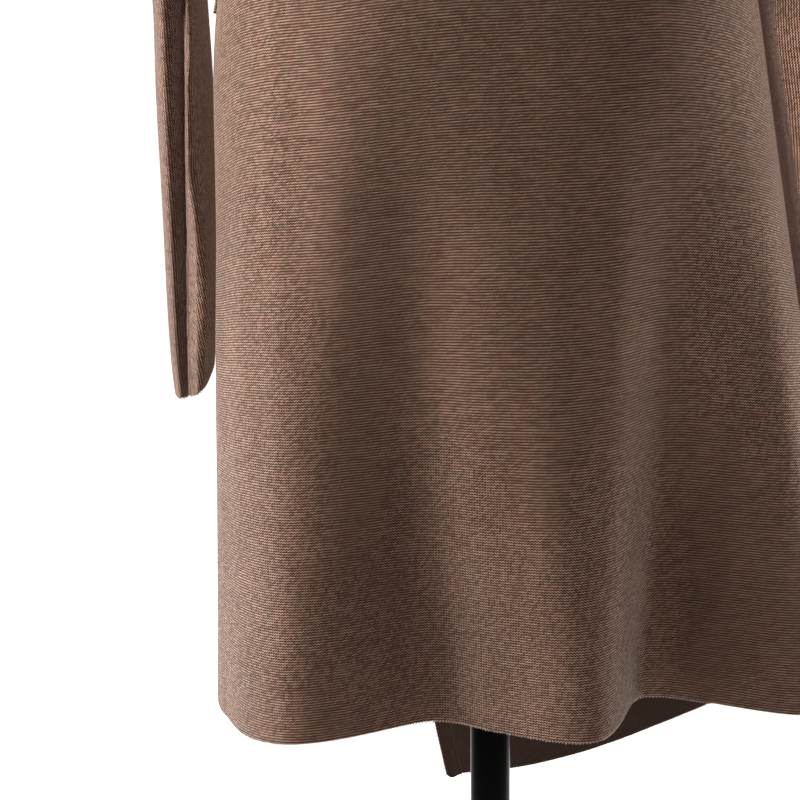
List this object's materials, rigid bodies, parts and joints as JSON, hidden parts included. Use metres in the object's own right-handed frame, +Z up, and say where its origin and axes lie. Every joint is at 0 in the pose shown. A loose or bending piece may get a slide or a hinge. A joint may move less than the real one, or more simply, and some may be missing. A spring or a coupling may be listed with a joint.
{
  "type": "knit wrap dress on a limbless dress form",
  "caption": "Fine-knit wrap dress with open neck, long hanging sleeves, low front corner and its own tied belt, resting on a smooth limbless torso form on a pole and round base",
  "frame": {"origin": "centre of the underside of the round stand base, on the floor", "axes": "+Z is up along the pole; -Y is the way the front of the dress faces; +X is the wearer's left"},
  "size_m": [0.45, 0.3, 1.496],
  "materials": {
    "knit": "matte fine knit",
    "knit_edge": "matte knit edge",
    "form_cover": "matte woven cover",
    "black_enamel": "gloss"
  },
  "bodies": {
    "root": {"dress_back": "knit", "dress_front_right": "knit", "dress_front_left": "knit", "front_edge_band": "knit_edge", "sleeve_left": "knit", "sleeve_right": "knit", "belt_band": "knit", "belt_knot": "knit", "belt_end_side": "knit", "belt_end_front": "knit", "form_torso": "form_cover", "form_neck_cap": "black_enamel", "stand_flange": "black_enamel", "stand_pole": "black_enamel", "stand_socket": "black_enamel", "stand_base": "black_enamel"}
  },
  "joints": []
}
